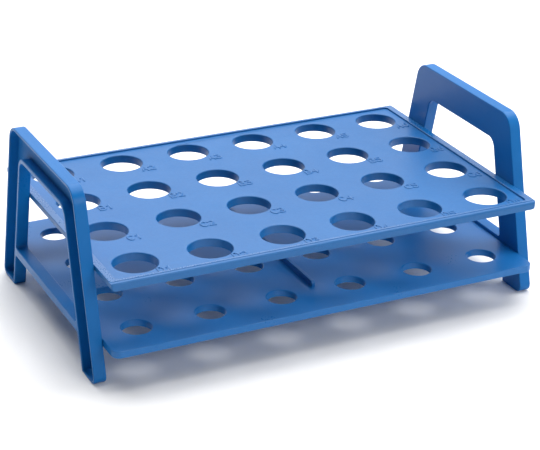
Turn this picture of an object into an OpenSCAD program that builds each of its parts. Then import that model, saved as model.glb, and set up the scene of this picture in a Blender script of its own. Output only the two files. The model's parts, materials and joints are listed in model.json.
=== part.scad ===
// Test tube rack: two punched plates held one above the other by two end frames.
// The frames are feet, handles and shelf brackets in one, and slide off along X.
// Z is up, the feet stand on Z = 0, and the middle of the rack is on X = Y = 0.

/* [Tube grid] */
// Columns of tubes along X
columns = 6; // [2:1:8]
// Rows of tubes along Y
rows = 4; // [3:1:4]
// Distance between neighbouring holes, both ways (mm)
pitch = 36; // [34:0.5:40]
// Diameter of the holes in the upper plate (mm)
upper_hole_d = 20.6; // [16:0.2:22]
// Diameter of the holes in the lower plate (mm)
lower_hole_d = 14; // [8:0.5:18]
// Wall of the collar under each hole (mm)
collar_wall = 1.6; // [1.2:0.1:2]

/* [Upper plate] */
// Plate beyond the last hole centres, at the ends (mm)
end_margin = 18; // [17:0.5:22]
// Plate beyond the last hole centres, at the front and back (mm)
side_margin = 17.1; // [15:0.1:20]
// Height of the upper panel above the table (mm)
upper_z = 52; // [44:1:56]
// Depth of the upper plate's collars (mm)
upper_depth = 4.2; // [3.8:0.1:6]
// Depth of the upper plate's skirt (mm)
upper_skirt = 3.2; // [3:0.1:3.8]
// Thickness of the upper panel itself (mm)
upper_sheet = 2.2; // [1.6:0.1:2.6]
// Height of the lip above the panel (mm)
lip_h = 0.9; // [0.5:0.1:1.5]
// Width of the lip at the ends (mm)
lip_end_w = 3.7; // [2:0.1:5]
// Width of the lip at the front and back (mm)
lip_side_w = 1.4; // [1:0.1:3]
// Width of the low ledge outside the front and back lips (mm)
ledge_w = 1.7; // [1.4:0.1:2]
// Height of the ledge above the panel (mm)
ledge_h = 0.6; // [0.2:0.1:0.8]

/* [Lower plate] */
// Height of the lower plate's top above the table (mm)
lower_z = 20.2; // [19.6:0.2:24]
// Depth of the lower plate's skirt and collars (mm)
lower_depth = 3.4; // [3.2:0.1:4]
// Thickness of the lower panel itself (mm)
lower_sheet = 2; // [1.4:0.1:2.4]
// Lower plate beyond the last hole centres, at the front and back (mm)
lower_side_margin = 19; // [17:0.5:21]
// Radius of the lower plate's corners (mm)
lower_corner_r = 4; // [2:0.5:6]
// Height of the stiffening rib across the middle (mm)
rib_h = 3; // [1:0.5:5]
// Thickness of the stiffening rib (mm)
rib_w = 1.8; // [1.2:0.1:2.4]
// Length of the stiffening rib, front to back (mm)
rib_l = 102; // [80:1:110]

/* [End frames] */
// Full height of an end frame (mm)
frame_h = 86.2; // [82:0.2:96]
// Depth of a frame's channel section along X (mm)
frame_t = 6; // [5:0.2:8]
// Thickness of a frame's web, against the plates (mm)
web_t = 1.6; // [1.2:0.1:2]
// Thickness of the flange round the outside (mm)
rim_t = 1.4; // [1.2:0.1:2.2]
// Thickness of the flange along the inside of each leg (mm)
inner_rim_t = 1.8; // [1.6:0.1:2.6]
// Half width over the legs at the table (mm)
foot_half = 64.2; // [62:0.2:68]
// Width of a leg, front to back (mm)
leg_w = 16.6; // [15:0.2:18]
// How far a leg leans in for each millimetre of height
leg_lean = 0.25; // [0.2:0.01:0.26]
// Radius of the frame's top corners (mm)
top_r = 9; // [6:0.5:12]
// Height of the hand opening's upper edge (mm)
opening_top = 69.8; // [68:0.2:71]
// Radius of the hand opening's top corners (mm)
opening_r = 5.5; // [3:0.5:7]
// Thickness of the grip's lower flange (mm)
grip_t = 2.2; // [2:0.2:3]
// How far the web hangs down below that flange (mm)
grip_drop = 2.3; // [1:0.1:3]
// Height of the crossbar's underside above the table (mm)
crossbar_z = 17.5; // [15:0.1:17.6]
// Height of the crossbar (mm)
crossbar_h = 4.4; // [4:0.1:5]

/* [Joints] */
// Play between tongues and slots, and between plate ends and frames (mm)
play = 0.2; // [0.1:0.05:0.3]
// Length of the leg tongues beyond the plate ends (mm)
tongue_l = 1.6; // [1.2:0.1:1.7]
// Thickness of the leg tongues (mm)
tongue_t = 2.4; // [1.6:0.1:2.4]
// Width of the leg tongues (mm)
tongue_w = 8; // [5:0.5:9]

/* [Hidden] */
$fn = 96;
eps = 0.01;
upper_half_x = (columns - 1) * pitch / 2 + end_margin;
upper_half_y = (rows - 1) * pitch / 2 + side_margin;
lower_half_y = (rows - 1) * pitch / 2 + lower_side_margin;
frame_x = upper_half_x + play / 2;
lean_len = sqrt(1 + leg_lean * leg_lean);
// Corner circles are larger by this, so that their edges cross the sloping sides cleanly
corner_overlap = 0.006;
skirt_t = 1.8;
corner_r = 1.5;
recess_r = 2;
end_round_r = 2.4;
ledge_r = 1.2;
foot_r = 3.5;
foot_inner_r = 1.5;
crossbar_top = crossbar_z + crossbar_h;
pocket_floor = 1.2;
shelf_tongue_t = lower_z - crossbar_z - pocket_floor - play / 2;
shelf_half_w = 37;
bar_rim_t = 2;
shelf_tongue_l = frame_t - bar_rim_t - play;
// Depth of the leg tongues' tops below the panels
upper_tongue_drop = 0.8;
lower_tongue_drop = 0.4;
upper_tongue_z = upper_z - upper_tongue_drop - tongue_t;
lower_tongue_z = lower_z - lower_tongue_drop - tongue_t;
// Cuts that are open below the table start this low, with small corners
low_cut_z = -20;
low_cut_r = 1;

// Half width of a frame at height z, outside the legs and between them
function outer_half(z) = foot_half - leg_lean * z;
function inner_half(z) = foot_half - leg_w - leg_lean * z;
// Middle of a leg at height z
function leg_mid(z) = (outer_half(z) + inner_half(z)) / 2;

// Rectangle centred on the origin, with round corners
module round_rect(hx, hy, r) {
  square([2 * hx, 2 * (hy - r)], center = true);
  square([2 * (hx - r), 2 * hy], center = true);
  for (sx = [-1, 1])
    for (sy = [-1, 1])
      translate([sx * (hx - r), sy * (hy - r)])
        circle(r = r);
}

// Upright symmetrical trapezoid whose sides lean by leg_lean, with round corners
// half is its half width at height 0, z0 and z1 its lower and upper edges
module leaning_panel(half, z0, z1, r0, r1) {
  y0 = half - leg_lean * z0 - r0 * (lean_len + leg_lean);
  y1 = half - leg_lean * z1 - r1 * (lean_len - leg_lean);
  polygon([
    [y0, z0],
    [y0 + r0 / lean_len, z0 + r0 + r0 * leg_lean / lean_len],
    [y1 + r1 / lean_len, z1 - r1 + r1 * leg_lean / lean_len],
    [y1, z1],
    [-y1, z1],
    [-y1 - r1 / lean_len, z1 - r1 + r1 * leg_lean / lean_len],
    [-y0 - r0 / lean_len, z0 + r0 + r0 * leg_lean / lean_len],
    [-y0, z0]
  ]);
  for (s = [-1, 1]) {
    translate([s * y0, z0 + r0 + corner_overlap])
      circle(r = r0 + corner_overlap);
    translate([s * y1, z1 - r1 - corner_overlap])
      circle(r = r1 + corner_overlap);
  }
}

// Stands a drawing of (Y, Z) up and gives it the thickness from x0 to x1
module along_x(x0, x1) {
  translate([x0, 0, 0])
    rotate([90, 0, 90])
      linear_extrude(height = x1 - x0)
        children();
}

// Copies its children to every place in the tube grid
module at_tubes() {
  for (i = [0 : columns - 1])
    for (j = [0 : rows - 1])
      translate([(i - (columns - 1) / 2) * pitch, (j - (rows - 1) / 2) * pitch, 0])
        children();
}

// Tongue that stands out of both ends of a plate, from z up, at y either side
module leg_tongues(z, y) {
  for (sx = [-1, 1])
    for (sy = [-1, 1])
      translate([sx * (upper_half_x + tongue_l / 2 - skirt_t / 2), sy * y, z + tongue_t / 2])
        cube([tongue_l + skirt_t, tongue_w, tongue_t], center = true);
}

// Outline of the upper plate from the end: round ledges at the front and back
module upper_section() {
  translate([-upper_half_y, -upper_skirt])
    square([2 * upper_half_y, upper_skirt + ledge_h - ledge_r]);
  translate([-upper_half_y + ledge_r, -upper_skirt])
    square([2 * (upper_half_y - ledge_r), upper_skirt + ledge_h]);
  for (s = [-1, 1])
    translate([s * (upper_half_y - ledge_r), ledge_h - ledge_r])
      circle(r = ledge_r);
}

// Outline of the upper plate from the front: round lower corners
module upper_front() {
  translate([-upper_half_x, -upper_skirt + end_round_r])
    square([2 * upper_half_x, upper_skirt]);
  translate([-upper_half_x + end_round_r, -upper_skirt])
    square([2 * (upper_half_x - end_round_r), upper_skirt]);
  for (s = [-1, 1])
    translate([s * (upper_half_x - end_round_r), -upper_skirt + end_round_r])
      circle(r = end_round_r);
}

// Upper plate: a thin panel with a skirt, a lip, a collar under each hole and tongues
module upper_tube_plate() {
  color("#3f86cf")
  difference() {
    union() {
      difference() {
        translate([0, 0, upper_z])
          intersection() {
            translate([0, 0, -upper_skirt])
              linear_extrude(height = upper_skirt + ledge_h)
                round_rect(upper_half_x, upper_half_y, corner_r);
            along_x(-upper_half_x, upper_half_x)
              upper_section();
            translate([0, upper_half_y, 0])
              rotate([90, 0, 0])
                linear_extrude(height = 2 * upper_half_y)
                  upper_front();
          }
        translate([0, 0, upper_z - upper_skirt - eps])
          linear_extrude(height = upper_skirt - upper_sheet + eps)
            round_rect(upper_half_x - skirt_t, upper_half_y - skirt_t, corner_r);
      }
      at_tubes()
        translate([0, 0, upper_z - upper_depth])
          cylinder(r = upper_hole_d / 2 + collar_wall, h = upper_depth - eps);
      translate([0, 0, upper_z - upper_sheet / 2])
        linear_extrude(height = upper_sheet / 2 + lip_h)
          round_rect(upper_half_x, upper_half_y - ledge_w, corner_r);
      leg_tongues(upper_tongue_z, leg_mid(upper_tongue_z));
    }
    translate([0, 0, upper_z])
      linear_extrude(height = lip_h + 1)
        round_rect(upper_half_x - lip_end_w, upper_half_y - ledge_w - lip_side_w, recess_r);
    at_tubes()
      translate([0, 0, upper_z - upper_depth - 1])
        cylinder(r = upper_hole_d / 2, h = upper_depth + lip_h + 2);
  }
}

// Lower plate: a thin panel with a skirt, collars, one rib across it and tongues
module lower_tube_plate() {
  color("#2f6cb4")
  difference() {
    union() {
      difference() {
        translate([0, 0, lower_z - lower_depth])
          linear_extrude(height = lower_depth)
            round_rect(upper_half_x, lower_half_y, lower_corner_r);
        translate([0, 0, lower_z - lower_depth - eps])
          linear_extrude(height = lower_depth - lower_sheet + eps)
            round_rect(upper_half_x - skirt_t, lower_half_y - skirt_t, lower_corner_r - skirt_t + eps);
      }
      at_tubes()
        translate([0, 0, lower_z - lower_depth])
          cylinder(r = lower_hole_d / 2 + collar_wall, h = lower_depth - eps);
      translate([-rib_w / 2, 0, 0])
        rotate([90, 0, 90])
          linear_extrude(height = rib_w) {
            translate([-rib_l / 2, lower_z - eps])
              square([rib_l, rib_h / 2]);
            translate([-rib_l / 2 + rib_h / 2, lower_z])
              square([rib_l - rib_h, rib_h]);
            for (s = [-1, 1])
              translate([s * (rib_l - rib_h) / 2, lower_z + rib_h / 2])
                circle(r = rib_h / 2);
          }
      leg_tongues(lower_tongue_z, leg_mid(lower_tongue_z));
      for (s = [-1, 1])
        translate([s * (upper_half_x + shelf_tongue_l / 2 - skirt_t / 2), 0, lower_z - shelf_tongue_t / 2])
          cube([shelf_tongue_l + skirt_t, 2 * shelf_half_w, shelf_tongue_t], center = true);
    }
    at_tubes()
      translate([0, 0, lower_z - lower_depth - 1])
        cylinder(r = lower_hole_d / 2, h = lower_depth + 2);
  }
}

// Slots through the web of both legs for a plate's tongues, drawn in (Y, Z)
module leg_slots(z, y) {
  for (s = [-1, 1])
    translate([s * y - tongue_w / 2 - play, z - play])
      square([tongue_w + 2 * play, tongue_t + 2 * play]);
}

// End frame at +X: legs, feet, grip and crossbar in one channel section, open outwards
module end_frame() {
  difference() {
    along_x(frame_x, frame_x + frame_t)
      difference() {
        leaning_panel(foot_half, 0, frame_h, foot_r, top_r);
        leaning_panel(foot_half - leg_w, low_cut_z, crossbar_z, low_cut_r, foot_inner_r);
        leaning_panel(foot_half - leg_w, crossbar_top, opening_top, foot_inner_r, opening_r);
      }
    along_x(frame_x + web_t, frame_x + frame_t + 1)
      difference() {
        leaning_panel(foot_half - rim_t * lean_len, rim_t, frame_h - rim_t, foot_r - rim_t, top_r - rim_t);
        leaning_panel(
          foot_half - leg_w + inner_rim_t * lean_len,
          low_cut_z,
          opening_top + grip_drop + grip_t,
          low_cut_r,
          opening_r + inner_rim_t
        );
      }
    along_x(frame_x + web_t, frame_x + frame_t + 1)
      leaning_panel(
        foot_half - leg_w,
        opening_top - 3 * opening_r,
        opening_top + grip_drop,
        low_cut_r,
        opening_r
      );
    along_x(frame_x - 1, frame_x + web_t + 1) {
      leg_slots(upper_tongue_z, leg_mid(upper_tongue_z));
      leg_slots(lower_tongue_z, leg_mid(lower_tongue_z));
    }
    translate([frame_x - 1, -shelf_half_w - play, crossbar_z + pocket_floor])
      cube([frame_t - bar_rim_t + 1, 2 * (shelf_half_w + play), shelf_tongue_t + play]);
  }
}

module right_end_frame() {
  color("#2a66b8")
    end_frame();
}

module left_end_frame() {
  color("#2a66b8")
    mirror([1, 0, 0])
      end_frame();
}

upper_tube_plate();
lower_tube_plate();
left_end_frame();
right_end_frame();
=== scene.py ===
"""Test tube rack in blue moulded plastic: finishes, rounded edges, raised grid marks,
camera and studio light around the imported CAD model."""
import json
import math

import bmesh
import bpy
from mathutils import Matrix, Vector


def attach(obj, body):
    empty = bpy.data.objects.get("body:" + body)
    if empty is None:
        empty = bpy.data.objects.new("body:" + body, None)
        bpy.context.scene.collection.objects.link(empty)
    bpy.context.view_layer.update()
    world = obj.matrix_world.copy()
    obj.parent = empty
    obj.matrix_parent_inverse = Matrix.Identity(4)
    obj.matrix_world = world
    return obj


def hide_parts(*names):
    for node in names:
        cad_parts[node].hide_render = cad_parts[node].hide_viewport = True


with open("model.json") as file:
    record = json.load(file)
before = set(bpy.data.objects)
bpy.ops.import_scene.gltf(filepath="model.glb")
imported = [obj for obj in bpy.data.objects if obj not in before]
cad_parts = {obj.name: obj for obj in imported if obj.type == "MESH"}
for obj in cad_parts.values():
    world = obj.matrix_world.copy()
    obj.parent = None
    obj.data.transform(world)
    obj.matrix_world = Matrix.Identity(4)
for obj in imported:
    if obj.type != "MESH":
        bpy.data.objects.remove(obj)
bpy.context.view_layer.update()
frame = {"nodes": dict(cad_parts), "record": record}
nodes = frame["nodes"]
MM = 0.001

# ---------------------------------------------------------------- camera
CAMERA_AZIMUTH = -26.246   # degrees round the rack; 0 looks along +Y
CAMERA_ELEVATION = 24.554
CAMERA_ROLL = 0.933
CAMERA_DISTANCE = 0.8446   # metres from the point aimed at
CAMERA_LENS = 116.46       # mm on a 36 mm sensor
AIM_RIGHT = 0.00184        # the point aimed at, from the middle of the upper panel
AIM_UP = -0.01932


def camera_axes(azimuth, elevation, roll):
    """Right, up and back unit vectors of a camera looking at the rack."""
    a, e, r = (math.radians(v) for v in (azimuth, elevation, roll))
    back = Vector((math.sin(a) * math.cos(e), -math.cos(a) * math.cos(e), math.sin(e)))
    right = Vector((0, 0, 1)).cross(back).normalized()
    up = back.cross(right)
    return (right * math.cos(r) + up * math.sin(r),
            up * math.cos(r) - right * math.sin(r), back, right, up)


def make_camera():
    right, up, back, level_right, level_up = camera_axes(
        CAMERA_AZIMUTH, CAMERA_ELEVATION, CAMERA_ROLL)
    panel_z = upper_panel_z()
    aim = Vector((0, 0, panel_z)) + level_right * AIM_RIGHT + level_up * AIM_UP
    place = aim + back * CAMERA_DISTANCE
    data = bpy.data.cameras.new("camera")
    data.lens = CAMERA_LENS
    data.sensor_width = 36.0
    data.clip_start, data.clip_end = 0.01, 20.0
    camera = bpy.data.objects.new("camera", data)
    camera.matrix_world = Matrix((
        (right.x, up.x, back.x, place.x),
        (right.y, up.y, back.y, place.y),
        (right.z, up.z, back.z, place.z),
        (0, 0, 0, 1)))
    bpy.context.scene.collection.objects.link(camera)
    bpy.context.scene.camera = camera


def mounts(prefix):
    """The record's mounts whose names start with prefix, by name."""
    return {m["name"]: m for m in frame["record"]["mounts"]
            if m["name"].startswith(prefix)}


def upper_panel_z():
    """Height of the upper panel's top: the upper end of any tube hole."""
    hole = mounts("tube_hole_")["tube_hole_a1"]
    return hole["pos_m"][2] + hole["dims"]["length_mm"] * MM / 2


# ---------------------------------------------------------------- materials
def new_material(name):
    mat = bpy.data.materials.new(name)
    mat.use_nodes = True
    return mat, mat.node_tree, mat.node_tree.nodes["Principled BSDF"]


def moulded_plastic(name, base, deep, roughness, grain_strength, gloss, mottle):
    """Satin polypropylene: moulded grain, faint mottling, rubbed and dull patches."""
    mat, tree, bsdf = new_material(name)
    link = tree.links.new
    coords = tree.nodes.new("ShaderNodeTexCoord")

    def noise(scale, detail):
        node = tree.nodes.new("ShaderNodeTexNoise")
        node.inputs["Scale"].default_value = scale
        node.inputs["Detail"].default_value = detail
        link(coords.outputs["Object"], node.inputs["Vector"])
        return node.outputs["Fac"]

    def ramp(source, low, high, from_low=0.3, from_high=0.7):
        node = tree.nodes.new("ShaderNodeMapRange")
        node.inputs["From Min"].default_value = from_low
        node.inputs["From Max"].default_value = from_high
        node.inputs["To Min"].default_value = low
        node.inputs["To Max"].default_value = high
        link(source, node.inputs["Value"])
        return node.outputs["Result"]

    # colour: slow drift in the pigment, and a fine mottle
    mix = tree.nodes.new("ShaderNodeMix")
    mix.data_type = "RGBA"
    mix.inputs["A"].default_value = (*deep, 1)
    mix.inputs["B"].default_value = (*base, 1)
    total = tree.nodes.new("ShaderNodeMath")
    total.operation = "ADD"
    link(ramp(noise(28, 3), 0.1, 0.6), total.inputs[0])
    link(ramp(noise(700, 2), 0.0, mottle), total.inputs[1])
    link(total.outputs["Value"], mix.inputs["Factor"])
    link(mix.outputs["Result"], bsdf.inputs["Base Color"])

    # roughness: broad handling wear over fine grain
    rough = tree.nodes.new("ShaderNodeMath")
    rough.operation = "ADD"
    link(ramp(noise(45, 4), roughness - 0.05, roughness + 0.05), rough.inputs[0])
    link(ramp(noise(1400, 1), -0.03, 0.03), rough.inputs[1])
    link(rough.outputs["Value"], bsdf.inputs["Roughness"])

    # moulded grain
    grain = tree.nodes.new("ShaderNodeBump")
    grain.inputs["Strength"].default_value = grain_strength
    grain.inputs["Distance"].default_value = 0.06 * MM
    link(noise(1100, 2), grain.inputs["Height"])
    link(grain.outputs["Normal"], bsdf.inputs["Normal"])
    bsdf.inputs["IOR"].default_value = 1.49
    bsdf.inputs["Specular IOR Level"].default_value = gloss
    return mat


BLUE = (0.006, 0.148, 0.44)
DEEP_BLUE = (0.004, 0.124, 0.38)
# The upper plate and its lip use a darker copy of the frame blue: painted shade that tones down
# the strongly lit top of the rack. It is the same plastic, not a different pigment.
PANEL_BLUE_SHADED = (0.004, 0.121, 0.36)
DEEP_PANEL_BLUE_SHADED = (0.003, 0.1, 0.31)
panel_look = moulded_plastic("panel_matte_shaded_blue", PANEL_BLUE_SHADED, DEEP_PANEL_BLUE_SHADED,
                             0.42, 0.4, 0.42, 0.45)
lip_look = moulded_plastic("lip_polished_shaded_blue", PANEL_BLUE_SHADED, DEEP_PANEL_BLUE_SHADED,
                           0.30, 0.12, 0.85, 0.2)
lower_look = moulded_plastic("lower_panel_satin_blue", BLUE, DEEP_BLUE, 0.34, 0.12, 0.38, 0.15)
frame_look = moulded_plastic("frame_satin_blue", BLUE, DEEP_BLUE, 0.34, 0.06, 0.2, 0.08)
web_look = moulded_plastic("frame_web_matte_blue", BLUE, DEEP_BLUE, 0.6, 0.4, 0.15, 0.15)
finishes = {
    "upper_tube_plate": [panel_look, lip_look],
    "lower_tube_plate": [lower_look],
    "left_end_frame": [frame_look, web_look],
    "right_end_frame": [frame_look, web_look],
}
bodies = {
    "upper_tube_plate": "plates",
    "lower_tube_plate": "plates",
    "left_end_frame": "left_frame",
    "right_end_frame": "right_frame",
}

# ---------------------------------------------------------------- rounded edges
SHARP = math.radians(32)
FLAT = math.radians(0.6)
WELD_DISTANCE = 0.002 * MM
JOINT_SIZE = 10 * MM       # tongues and slots are smaller than this
HOLE_SIZE = 30 * MM        # tube holes are smaller than this
MAX_RADIUS = 0.6 * MM
# radii as shares of the largest one
HOLE_RIM_SHARE = 1.0
HOLE_FOOT_SHARE = 0.4
RIB_SHARE = 0.6
FRAME_SHARE = 0.8
PLATE_SHARE = 0.55
BEVEL_SEGMENTS = 3
FACING = 0.99              # cosine of the widest angle that still counts as facing a way
LIP_CLEARANCE = 0.7 * MM   # faces this far above the panel belong to the lip


def is_sharp(edge):
    return len(edge.link_faces) == 2 and edge.calc_face_angle(0) > SHARP


def edge_groups(mesh):
    """Sharp convex edges of the mesh, in connected groups."""
    sharp = {e for e in mesh.edges if is_sharp(e) and e.is_convex}
    groups = []
    while sharp:
        group, front = [], [sharp.pop()]
        while front:
            edge = front.pop()
            group.append(edge)
            for vert in edge.verts:
                for other in vert.link_edges:
                    if other in sharp:
                        sharp.discard(other)
                        front.append(other)
        groups.append(group)
    return groups


def rounding(name, group, top):
    """Radius for a group of edges, as a share of the largest one."""
    points = [v.co for e in group for v in e.verts]
    sizes = sorted(max(p[i] for p in points) - min(p[i] for p in points) for i in range(3))
    mid_x = sum(p.x for p in points) / len(points)
    if sizes[1] < JOINT_SIZE:
        rib = name == "lower_tube_plate" and abs(mid_x) < MM and sizes[2] > JOINT_SIZE
        return RIB_SHARE if rib else 0.0
    if sizes[2] < HOLE_SIZE:
        height = max(p.z for p in points)
        return HOLE_RIM_SHARE if height > top - MM else HOLE_FOOT_SHARE
    return FRAME_SHARE if name.endswith("frame") else PLATE_SHARE


def cleaned_mesh(node):
    """The node's mesh in the row frame, with doubled points and split flat faces joined."""
    mesh = bmesh.new()
    mesh.from_mesh(node.data)
    bmesh.ops.transform(mesh, matrix=node.matrix_world, verts=mesh.verts)
    bmesh.ops.remove_doubles(mesh, verts=mesh.verts, dist=WELD_DISTANCE)
    bmesh.ops.dissolve_limit(mesh, angle_limit=FLAT, verts=mesh.verts, edges=mesh.edges)
    bmesh.ops.recalc_face_normals(mesh, faces=mesh.faces)
    return mesh


def top_of(name, mesh):
    """Height of the faces that the node's holes open into, or of the whole mesh."""
    if name == "upper_tube_plate":
        return upper_panel_z()
    if name == "lower_tube_plate":
        seat = mounts("tube_seat_")["tube_seat_a1"]
        return seat["pos_m"][2] + seat["dims"]["length_mm"] * MM / 2
    return max(v.co.z for v in mesh.verts)


def pick_lip(mesh, top):
    """Gives the top of the upper plate's lip its second finish."""
    for face in mesh.faces:
        if face.normal.z > FACING and face.calc_center_median().z > top + LIP_CLEARANCE:
            face.material_index = 1


def pick_web(mesh, side):
    """Gives the web behind an end frame's flanges its second finish; side is its sign in X."""
    outer = max(abs(v.co.x) for v in mesh.verts)
    inner = min(abs(v.co.x) for v in mesh.verts)
    for face in mesh.faces:
        middle = abs(face.calc_center_median().x)
        if face.normal.x * side > FACING and inner + MM < middle < outer - MM:
            face.material_index = 1


def rounded_copy(name):
    """The node's mesh with its visible edges rounded, in the node's place."""
    mesh = cleaned_mesh(nodes[name])
    weights = mesh.edges.layers.float.new("bevel_weight_edge")
    top = top_of(name, mesh)
    for group in edge_groups(mesh):
        share = rounding(name, group, top)
        for edge in group:
            edge[weights] = share
    if name == "upper_tube_plate":
        pick_lip(mesh, top)
    if name.endswith("frame"):
        pick_web(mesh, 1 if name == "right_end_frame" else -1)
    for face in mesh.faces:
        face.smooth = True
    for edge in mesh.edges:
        edge.smooth = not (is_sharp(edge) and edge[weights] == 0)

    data = bpy.data.meshes.new(name + "_rounded")
    mesh.to_mesh(data)
    mesh.free()
    for mat in finishes[name]:
        data.materials.append(mat)
    copy = bpy.data.objects.new(name + "_rounded", data)
    bpy.context.scene.collection.objects.link(copy)
    bevel = copy.modifiers.new("edge_rounding", "BEVEL")
    bevel.limit_method = "WEIGHT"
    bevel.width = MAX_RADIUS
    bevel.segments = BEVEL_SEGMENTS
    bevel.use_clamp_overlap = False
    normals = copy.modifiers.new("face_normals", "WEIGHTED_NORMAL")
    normals.keep_sharp = True
    normals.weight = 90
    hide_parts(name)
    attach(copy, bodies[name])


for node_name in nodes:
    rounded_copy(node_name)

# ---------------------------------------------------------------- raised grid marks
MARK_HALF_STROKE = 0.55 * MM
MARK_RISE = 0.36 * MM
MARK_HEIGHT = 4.6 * MM
MARK_WIDTH = 2.7 * MM
MARK_STEP = 3.7 * MM
MARK_OFFSET = (9.4 * MM, -11.6 * MM)   # from the hole's centre
MARK_SINK = 0.15 * MM      # depth of a stroke's foot below the panel
MARK_SIDES = 8
CAP_ANGLES = (20, 50, 80)  # degrees round the end of a stroke


def arc(cx, cy, rx, ry, start, end, steps=10):
    """Points on an ellipse, angles in degrees."""
    return [(cx + rx * math.cos(math.radians(start + (end - start) * i / steps)),
             cy + ry * math.sin(math.radians(start + (end - start) * i / steps)))
            for i in range(steps + 1)]


# each character as open strokes in a box 1 wide and 1 high
CHARACTERS = {
    "a": [[(0, 0), (0.5, 1), (1, 0)], [(0.2, 0.36), (0.8, 0.36)]],
    "b": [[(0, 0), (0, 1), (0.55, 1)] + arc(0.55, 0.76, 0.36, 0.24, 90, -90)
          + [(0, 0.52)], [(0.55, 0.52)] + arc(0.58, 0.26, 0.42, 0.26, 90, -90) + [(0, 0)]],
    "c": [arc(0.55, 0.5, 0.55, 0.5, 48, 312, 16)],
    "d": [[(0, 0), (0, 1), (0.45, 1)] + arc(0.45, 0.5, 0.55, 0.5, 90, -90, 14) + [(0, 0)]],
    "1": [[(0.2, 0.76), (0.55, 1), (0.55, 0)]],
    "2": [arc(0.5, 0.7, 0.48, 0.3, 165, -30, 12) + [(0.02, 0), (1, 0)]],
    "3": [arc(0.46, 0.76, 0.44, 0.24, 150, -90, 12),
          arc(0.46, 0.26, 0.5, 0.26, 90, -150, 12)],
    "4": [[(0.72, 0), (0.72, 1), (0, 0.3), (1, 0.3)]],
    "5": [[(0.92, 1), (0.14, 1), (0.08, 0.56)] + arc(0.46, 0.32, 0.5, 0.32, 110, -150, 14)],
    "6": [[(0.86, 0.98), (0.4, 0.86), (0.1, 0.5)] + arc(0.5, 0.31, 0.44, 0.31, 165, -195, 18)],
}


def add_stroke(mesh, points, z):
    """A raised rounded ridge along the points, with round ends and its foot in the panel."""
    spots = [Vector(point) for point in points]
    headings = [(after - before).normalized()
                for before, after in zip(spots[:1] + spots[:-1], spots[1:] + spots[-1:])]
    rings = []

    def ring(centre, along, scale):
        across = Vector((along.y, -along.x))
        verts = []
        for k in range(MARK_SIDES + 1):
            turn = math.pi * k / MARK_SIDES
            spot = centre + across * (math.cos(turn) * MARK_HALF_STROKE * scale)
            verts.append(mesh.verts.new((spot.x, spot.y, z + math.sin(turn) * MARK_RISE * scale)))
        for side in (-1, 1):
            spot = centre + across * (side * MARK_HALF_STROKE * scale)
            verts.append(mesh.verts.new((spot.x, spot.y, z - MARK_SINK)))
        rings.append(verts)

    def end_cap(centre, along, outward, angles):
        for angle in angles:
            t = math.radians(angle)
            reach = outward * MARK_HALF_STROKE * math.sin(t)
            ring(centre + along * reach, along, math.cos(t))

    end_cap(spots[0], headings[0], -1, CAP_ANGLES[::-1])
    for centre, along in zip(spots, headings):
        ring(centre, along, 1.0)
    end_cap(spots[-1], headings[-1], 1, CAP_ANGLES)
    size = len(rings[0])
    for one, two in zip(rings, rings[1:]):
        for k in range(size):
            n = (k + 1) % size
            mesh.faces.new((one[k], one[n], two[n], two[k]))
    mesh.faces.new(rings[0][::-1])
    mesh.faces.new(rings[-1])


def make_grid_marks():
    """Column letter and row number beside each tube hole, raised from the panel."""
    mesh = bmesh.new()
    z = upper_panel_z()
    for name, hole in mounts("tube_hole_").items():
        letter, number = name[-2], name[-1]
        cx = hole["pos_m"][0] + MARK_OFFSET[0]
        cy = hole["pos_m"][1] + MARK_OFFSET[1]
        for place, character in ((-0.5, letter), (0.5, number)):
            left = cx + place * MARK_STEP - MARK_WIDTH / 2
            low = cy - MARK_HEIGHT / 2
            for stroke in CHARACTERS[character]:
                add_stroke(mesh, [(left + u * MARK_WIDTH, low + v * MARK_HEIGHT)
                                  for u, v in stroke], z)
    bmesh.ops.recalc_face_normals(mesh, faces=mesh.faces)
    data = bpy.data.meshes.new("grid_marks")
    mesh.to_mesh(data)
    mesh.free()
    for poly in data.polygons:
        poly.use_smooth = True
    data.materials.append(panel_look)
    marks = bpy.data.objects.new("grid_marks", data)
    bpy.context.scene.collection.objects.link(marks)
    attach(marks, "plates")


make_grid_marks()
make_camera()


# ---------------------------------------------------------------- floor and light
def make_floor():
    mesh = bpy.data.meshes.new("floor")
    half = 3.0
    mesh.from_pydata([(-half, -half, 0), (half, -half, 0), (half, half, 0), (-half, half, 0)],
                     [], [(0, 1, 2, 3)])
    floor = bpy.data.objects.new("floor", mesh)
    bpy.context.scene.collection.objects.link(floor)
    mat, _, bsdf = new_material("floor_pale")
    bsdf.inputs["Base Color"].default_value = (0.9, 0.9, 0.9, 1)
    bsdf.inputs["Roughness"].default_value = 0.9
    mesh.materials.append(mat)


def area_light(name, place, target, size, power):
    data = bpy.data.lights.new(name, "AREA")
    data.shape = "RECTANGLE"
    data.size, data.size_y = size
    data.energy = power
    light = bpy.data.objects.new(name, data)
    light.location = place
    light.rotation_mode = "QUATERNION"
    light.rotation_quaternion = (Vector(target) - Vector(place)).to_track_quat("-Z", "Y")
    bpy.context.scene.collection.objects.link(light)


def make_world():
    world = bpy.data.worlds.new("studio")
    world.use_nodes = True
    background = world.node_tree.nodes["Background"]
    background.inputs["Color"].default_value = (1, 1, 1, 1)
    background.inputs["Strength"].default_value = 0.12
    bpy.context.scene.world = world


make_floor()
make_world()
area_light("top_softbox", (0.25, 0.5, 1.3), (0, 0, 0), (1.8, 1.6), 42)
area_light("right_softbox", (1.3, -0.2, 0.9), (0, 0, 0.03), (1.0, 0.9), 8)
area_light("front_softbox", (0.35, -1.5, 0.8), (0, 0, 0.03), (1.0, 0.9), 11)
area_light("backdrop", (0, 2.0, 0.6), (0, 0, 0.1), (3.2, 1.1), 13)

bpy.context.scene.view_settings.view_transform = "Standard"

bpy.context.view_layer.update()
